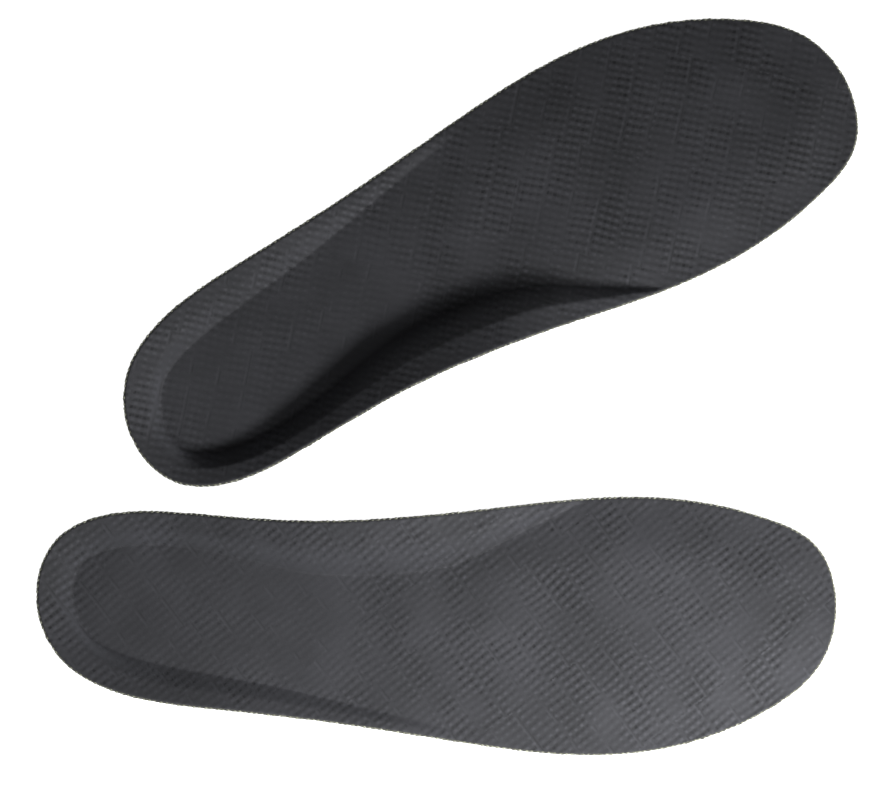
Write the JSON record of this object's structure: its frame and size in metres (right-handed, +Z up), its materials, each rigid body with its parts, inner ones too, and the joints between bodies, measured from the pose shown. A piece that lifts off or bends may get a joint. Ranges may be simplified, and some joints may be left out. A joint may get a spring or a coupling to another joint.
{
  "type": "pair of foot orthoses",
  "caption": "Pair of full-length orthotic insoles with mesh cloth covers, cupped heels, raised inner arches and a flexible forefoot.",
  "frame": {"origin": "centre of the pair's bounding box, on the surface it lies on", "axes": "+X along the right insole from heel to toe, +Y towards the left insole, +Z up"},
  "size_m": [0.2828, 0.2538, 0.027],
  "materials": {
    "mesh_cover": "knitted polyester mesh, charcoal",
    "cushion_foam": "open-cell foam, pale cream",
    "arch_foam": "firm closed-cell foam, dark grey",
    "shell_plastic": "semi-rigid sheet",
    "gel": "soft gel",
    "base_foam": "moulded closed-cell foam, near black",
    "suede_lining": "suede-like microfibre"
  },
  "bodies": {
    "right_rear": {"right_top_cover_rear": "mesh_cover", "right_cushion_rear": "cushion_foam", "right_arch_pad": "arch_foam", "right_support_shell": "shell_plastic", "right_heel_pad": "gel", "right_base_rear": "base_foam", "right_bottom_lining_rear": "suede_lining"},
    "right_front": {"right_top_cover_front": "mesh_cover", "right_cushion_front": "cushion_foam", "right_ball_pad": "gel", "right_base_front": "base_foam", "right_bottom_lining_front": "suede_lining"},
    "left_rear": {"left_top_cover_rear": "mesh_cover", "left_cushion_rear": "cushion_foam", "left_arch_pad": "arch_foam", "left_support_shell": "shell_plastic", "left_heel_pad": "gel", "left_base_rear": "base_foam", "left_bottom_lining_rear": "suede_lining"},
    "left_front": {"left_top_cover_front": "mesh_cover", "left_cushion_front": "cushion_foam", "left_ball_pad": "gel", "left_base_front": "base_foam", "left_bottom_lining_front": "suede_lining"}
  },
  "joints": [
    {"name": "right_forefoot_flex", "type": "hinge", "parent": "right_rear", "child": "right_front", "pos_m": [0.04284, -0.08209, 0.0066], "axis": [-0.3383, -0.941, 0], "range_deg": [0, 50], "stiffness_Nm_per_rad": 0.12},
    {"name": "left_insole_lift", "type": "slide", "parent": "right_rear", "child": "left_rear", "axis": [0, 0, 1], "range_m": [0, 0.08]},
    {"name": "left_forefoot_flex", "type": "hinge", "parent": "left_rear", "child": "left_front", "pos_m": [0.05293, 0.07081, 0.0066], "axis": [0.7166, -0.6975, 0], "range_deg": [0, 50], "stiffness_Nm_per_rad": 0.12}
  ]
}
